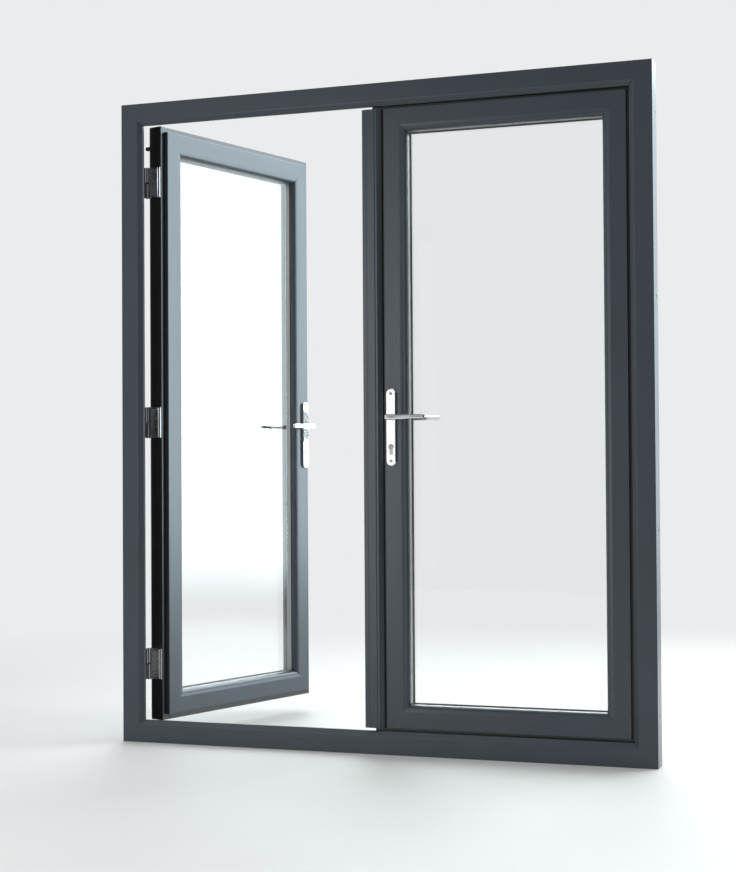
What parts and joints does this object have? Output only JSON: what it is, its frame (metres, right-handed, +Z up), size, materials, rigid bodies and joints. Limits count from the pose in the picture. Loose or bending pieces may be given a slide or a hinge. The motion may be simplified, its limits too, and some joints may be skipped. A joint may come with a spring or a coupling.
{
  "type": "french doors",
  "caption": "Outward-opening glazed french doors in their grey frame, with a floating mullion, knuckle hinges, shootbolts and lever handles on long backplates.",
  "frame": {"origin": "middle of the outer frame's underside, half way through its depth", "axes": "+Z up, +Y outdoors (the way the leaves open), +X to the right as seen from inside the room"},
  "size_m": [1.76, 0.9028, 2.105],
  "materials": {
    "anthracite_profile": "anthracite grey, fine matt grain",
    "clear_glass": "clear",
    "black_rubber": "black",
    "spacer_bar": "plain mill",
    "polished_chrome": "polished",
    "satin_chrome": "satin",
    "zinc_steel": "zinc plated",
    "black_plastic": "matt black"
  },
  "bodies": {
    "frame": {"frame_head": "anthracite_profile", "frame_sill": "anthracite_profile", "frame_left_jamb": "anthracite_profile", "frame_right_jamb": "anthracite_profile", "frame_gasket": "black_rubber", "shootbolt_keeps": "zinc_steel", "hinge_frame_plates": "satin_chrome", "hinge_pins": "satin_chrome"},
    "latch": {"left_latch": "zinc_steel"},
    "lock_bolts": {"left_deadbolt": "zinc_steel", "left_hook_bolts": "zinc_steel"},
    "left_handle": {"left_inside_lever": "polished_chrome", "left_outside_lever": "polished_chrome", "left_spindle": "zinc_steel"},
    "right_handle": {"right_inside_lever": "polished_chrome", "right_outside_lever": "polished_chrome", "right_spindle": "zinc_steel"},
    "upper_shootbolt": {"top_shootbolt": "zinc_steel"},
    "lower_shootbolt": {"bottom_shootbolt": "zinc_steel"},
    "left_leaf": {"left_bottom_bead": "anthracite_profile", "left_bottom_rail": "anthracite_profile", "left_cylinder": "polished_chrome", "left_glass_spacer": "spacer_bar", "left_glazing_gaskets": "black_rubber", "left_handle_screws": "satin_chrome", "left_hinge_plates": "satin_chrome", "left_hinge_side_bead": "anthracite_profile", "left_hinge_stile": "anthracite_profile", "left_inner_pane": "clear_glass", "left_inside_backplate": "polished_chrome", "left_lock_case": "zinc_steel", "left_lock_faceplate": "zinc_steel", "left_lock_side_bead": "anthracite_profile", "left_lock_stile": "anthracite_profile", "left_outer_pane": "clear_glass", "left_outside_backplate": "polished_chrome", "left_top_bead": "anthracite_profile", "left_top_rail": "anthracite_profile"},
    "right_leaf": {"floating_mullion": "anthracite_profile", "lock_keep": "zinc_steel", "mullion_end_caps": "black_plastic", "mullion_gasket": "black_rubber", "right_bottom_bead": "anthracite_profile", "right_bottom_rail": "anthracite_profile", "right_cylinder": "polished_chrome", "right_glass_spacer": "spacer_bar", "right_glazing_gaskets": "black_rubber", "right_handle_screws": "satin_chrome", "right_hinge_plates": "satin_chrome", "right_hinge_side_bead": "anthracite_profile", "right_hinge_stile": "anthracite_profile", "right_inner_pane": "clear_glass", "right_inside_backplate": "polished_chrome", "right_lock_case": "zinc_steel", "right_lock_side_bead": "anthracite_profile", "right_lock_stile": "anthracite_profile", "right_outer_pane": "clear_glass", "right_outside_backplate": "polished_chrome", "right_top_bead": "anthracite_profile", "right_top_rail": "anthracite_profile"}
  },
  "joints": [
    {"name": "left_leaf_swing", "type": "hinge", "parent": "frame", "child": "left_leaf", "pos_m": [-0.82425, 0.045, 1.0515], "axis": [0, 0, 1], "range_deg": [-74, 26]},
    {"name": "right_leaf_swing", "type": "hinge", "parent": "frame", "child": "right_leaf", "pos_m": [0.82425, 0.045, 1.0515], "axis": [0, 0, -1], "range_deg": [0, 100]},
    {"name": "left_handle_turn", "type": "hinge", "parent": "left_leaf", "child": "left_handle", "pos_m": [-0.58228, 0.77639, 1.052], "axis": [-0.9613, 0.2756, 0], "range_deg": [-45, 0], "stiffness_Nm_per_rad": 2, "springref_deg": 20.05},
    {"name": "latch_slide", "type": "slide", "parent": "left_leaf", "child": "latch", "axis": [-0.2756, -0.9613, 0], "range_m": [0, 0.012]},
    {"name": "lock_bolts_slide", "type": "slide", "parent": "left_leaf", "child": "lock_bolts", "axis": [0.2756, 0.9613, 0], "range_m": [0, 0.02]},
    {"name": "right_handle_turn", "type": "hinge", "parent": "right_leaf", "child": "right_handle", "pos_m": [0.0545, 0.014, 1.052], "axis": [0, 1, 0], "range_deg": [-45, 0], "stiffness_Nm_per_rad": 1, "springref_deg": 20.05},
    {"name": "upper_shootbolt_slide", "type": "slide", "parent": "right_leaf", "child": "upper_shootbolt", "axis": [0, 0, 1], "range_m": [0, 0.03]},
    {"name": "lower_shootbolt_slide", "type": "slide", "parent": "right_leaf", "child": "lower_shootbolt", "axis": [0, 0, -1], "range_m": [0, 0.03]}
  ],
  "couplings": [
    {"joint": "latch_slide", "follows": "left_handle_turn", "m_per_rad": -0.015279},
    {"joint": "upper_shootbolt_slide", "follows": "right_handle_turn", "m_per_rad": -0.038197},
    {"joint": "lower_shootbolt_slide", "follows": "right_handle_turn", "m_per_rad": -0.038197}
  ]
}
